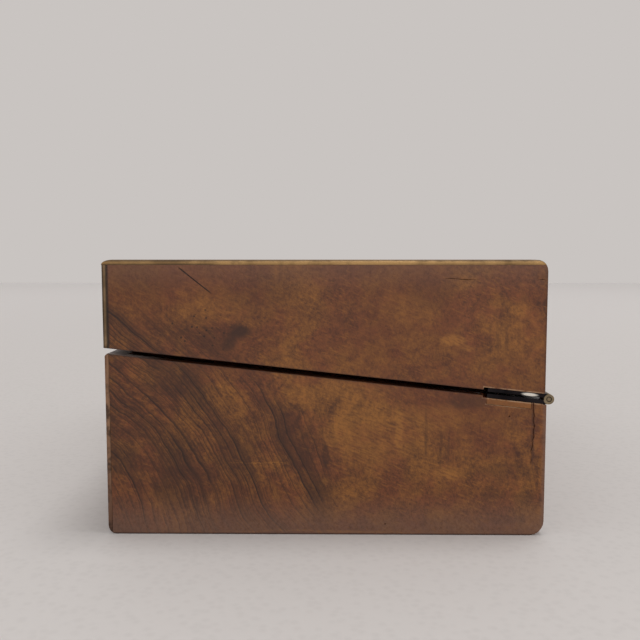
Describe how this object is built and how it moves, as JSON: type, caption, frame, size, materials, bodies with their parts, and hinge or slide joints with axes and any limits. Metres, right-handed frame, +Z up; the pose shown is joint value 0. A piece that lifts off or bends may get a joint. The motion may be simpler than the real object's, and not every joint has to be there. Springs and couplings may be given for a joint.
{
  "type": "folding writing box",
  "caption": "Veneered wooden box cut on a slant; its brass-edged lid opens flat to make a sloping desk over wells, a pen section and hidden drawers.",
  "frame": {"origin": "on the surface it stands on, under the middle of the base", "axes": "+X along the width, -Y towards the lock side, +Y towards the hinge side, +Z up"},
  "size_m": [0.35, 0.243, 0.15],
  "materials": {
    "walnut_veneer": "old figured walnut veneer under worn shellac polish, satin",
    "veneer_patch": "slip of walnut veneer let in as a repair, satin",
    "corner_bead": "lighter wood, rubbed bare along the corner",
    "mahogany": "plain mahogany, matt inside and polished on the edges",
    "brass": "old unlacquered brass, dulled and brown in the corners",
    "steel": "dull iron",
    "glass": "clear pressed glass",
    "leather": "dark green skiver with worn edges"
  },
  "bodies": {
    "base": {"base_bottom": "mahogany", "base_front_board": "mahogany", "base_rear_board": "mahogany", "base_left_board": "mahogany", "base_right_board": "mahogany", "base_front_veneer": "walnut_veneer", "base_rear_veneer": "walnut_veneer", "base_left_veneer": "walnut_veneer", "base_right_veneer": "walnut_veneer", "base_corner_beads": "corner_bead", "veneer_patch": "veneer_patch", "base_left_hinge_leaf": "brass", "base_right_hinge_leaf": "brass", "hinge_pins": "brass", "base_screws": "steel", "lock_case": "brass", "escutcheon": "brass", "pen_floor": "mahogany", "pen_partition": "mahogany", "pen_dividers": "mahogany", "pen_tray": "mahogany", "left_inkwell": "glass", "right_inkwell": "glass", "inkwell_collars": "brass", "base_flap_ledges": "mahogany", "base_flap_pins": "brass", "drawer_rails": "mahogany", "panel_spring": "steel"},
    "lid": {"lid_top_board": "mahogany", "lid_front_board": "mahogany", "lid_rear_board": "mahogany", "lid_left_board": "mahogany", "lid_right_board": "mahogany", "lid_top_veneer": "walnut_veneer", "lid_front_veneer": "walnut_veneer", "lid_rear_veneer": "walnut_veneer", "lid_left_veneer": "walnut_veneer", "lid_right_veneer": "walnut_veneer", "lid_brass_edging": "brass", "lid_brass_corners": "brass", "cartouche": "brass", "lid_left_hinge_leaf": "brass", "lid_right_hinge_leaf": "brass", "lid_screws": "steel", "lock_link_plate": "brass", "lid_flap_ledges": "mahogany", "lid_flap_pins": "brass"},
    "base_flap": {"base_flap_board": "mahogany", "base_flap_leather": "leather", "base_flap_tab": "leather"},
    "lid_flap": {"lid_flap_board": "mahogany", "lid_flap_leather": "leather", "lid_flap_tab": "leather"},
    "left_inkwell_cap": {"left_inkwell_cap": "brass"},
    "right_inkwell_cap": {"right_inkwell_cap": "brass"},
    "nib_box_lid": {"nib_box_lid": "mahogany"},
    "hidden_panel": {"hidden_panel": "mahogany"},
    "left_drawer": {"left_drawer": "mahogany"},
    "right_drawer": {"right_drawer": "mahogany"},
    "lock_bolt": {"lock_bolt": "brass"}
  },
  "joints": [
    {"name": "lid_hinge", "type": "hinge", "parent": "base", "child": "lid", "pos_m": [0, 0.1205, 0.075], "axis": [-1, 0, 0], "range_deg": [0, 180]},
    {"name": "base_flap_hinge", "type": "hinge", "parent": "base", "child": "base_flap", "pos_m": [0, 0.10902, 0.07117], "axis": [-1, 0, 0], "range_deg": [0, 70]},
    {"name": "lid_flap_hinge", "type": "hinge", "parent": "lid", "child": "lid_flap", "pos_m": [0, 0.10822, 0.08141], "axis": [1, 0, 0], "range_deg": [0, 70]},
    {"name": "left_inkwell_cap_hinge", "type": "hinge", "parent": "base", "child": "left_inkwell_cap", "pos_m": [-0.145, -0.0998, 0.07925], "axis": [1, 0, 0], "range_deg": [0, 95]},
    {"name": "right_inkwell_cap_hinge", "type": "hinge", "parent": "base", "child": "right_inkwell_cap", "pos_m": [0.145, -0.0998, 0.07925], "axis": [1, 0, 0], "range_deg": [0, 95]},
    {"name": "nib_box_hinge", "type": "hinge", "parent": "base", "child": "nib_box_lid", "pos_m": [-0.1, -0.1072, 0.08447], "axis": [1, 0, 0], "range_deg": [0, 90]},
    {"name": "hidden_panel_slide", "type": "slide", "parent": "base", "child": "hidden_panel", "axis": [0, 1, 0], "range_m": [0, 0.08]},
    {"name": "left_drawer_slide", "type": "slide", "parent": "base", "child": "left_drawer", "axis": [0, 1, 0], "range_m": [0, 0.034]},
    {"name": "right_drawer_slide", "type": "slide", "parent": "base", "child": "right_drawer", "axis": [0, 1, 0], "range_m": [0, 0.034]},
    {"name": "lock_bolt_slide", "type": "slide", "parent": "base", "child": "lock_bolt", "axis": [1, 0, 0], "range_m": [0, 0.0045]}
  ],
  "couplings": [
    {"joint": "base_flap_hinge", "follows": "lid_hinge", "ratio": 0.38889},
    {"joint": "lid_flap_hinge", "follows": "lid_hinge", "ratio": 0.38889},
    {"joint": "left_inkwell_cap_hinge", "follows": "lid_hinge", "ratio": 0.52778},
    {"joint": "right_inkwell_cap_hinge", "follows": "lid_hinge", "ratio": 0.52778},
    {"joint": "nib_box_hinge", "follows": "lid_hinge", "ratio": 0.5},
    {"joint": "left_drawer_slide", "follows": "hidden_panel_slide", "ratio": 0.425},
    {"joint": "right_drawer_slide", "follows": "hidden_panel_slide", "ratio": 0.425}
  ]
}
